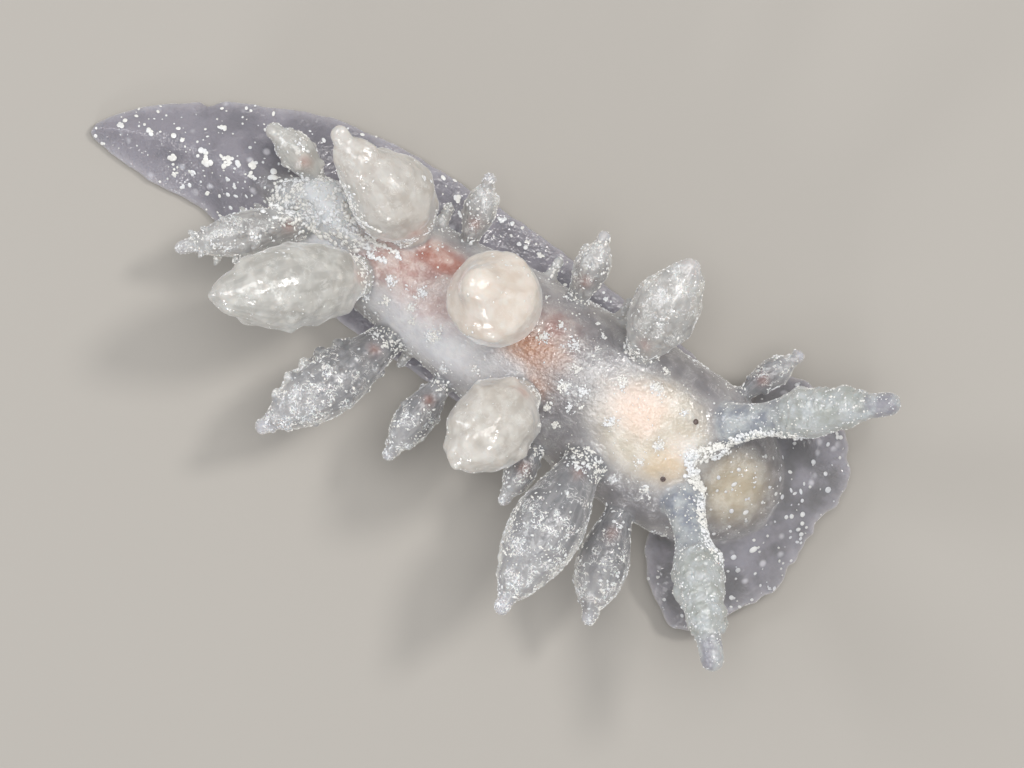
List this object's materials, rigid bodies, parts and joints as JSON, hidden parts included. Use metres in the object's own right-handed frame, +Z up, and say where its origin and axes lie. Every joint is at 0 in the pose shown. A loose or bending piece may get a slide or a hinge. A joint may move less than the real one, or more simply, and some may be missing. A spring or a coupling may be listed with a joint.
{
  "type": "colorful dirona sea slug",
  "caption": "Young translucent sea slug, crawling: broad foot, oral veil, two club-shaped rhinophores and spread, tuberculate cerata.",
  "frame": {"origin": "on the sole, under the middle of the body", "axes": "+X towards the head, +Y to the animal's left, +Z up from the sole"},
  "size_m": [0.02, 0.0097, 0.0058],
  "materials": {
    "sole": "wet translucent lilac-grey skin with scattered white spots",
    "body": "wet translucent grey skin with opaque white specks and red-brown patches",
    "head": "wet translucent skin over a cream mass, with a granular white crest",
    "veil": "thin translucent grey skin with white spots",
    "rhinophore": "wet bluish-white translucent skin with granular edges",
    "ceras_clear": "wet clear skin with opaque white granules",
    "ceras_full": "wet cream-white crinkled skin",
    "eye": "black eye spot"
  },
  "bodies": {
    "root": {"foot": "sole", "tail": "sole", "torso_rear": "body", "torso_middle": "body", "torso_front": "body", "head": "head", "oral_veil": "veil", "rhinophore_left": "rhinophore", "rhinophore_right": "rhinophore", "eye_left": "eye", "eye_right": "eye", "ceras_top": "ceras_full", "ceras_left_1": "ceras_clear", "ceras_left_2": "ceras_full", "ceras_left_3": "ceras_clear", "ceras_left_4": "ceras_clear", "ceras_left_5": "ceras_full", "ceras_left_6": "ceras_clear", "ceras_right_1": "ceras_clear", "ceras_right_2": "ceras_clear", "ceras_right_3": "ceras_clear", "ceras_right_4": "ceras_full", "ceras_right_5": "ceras_clear", "ceras_right_6": "ceras_clear", "ceras_right_7": "ceras_full", "ceras_right_8": "ceras_clear"}
  },
  "joints": []
}
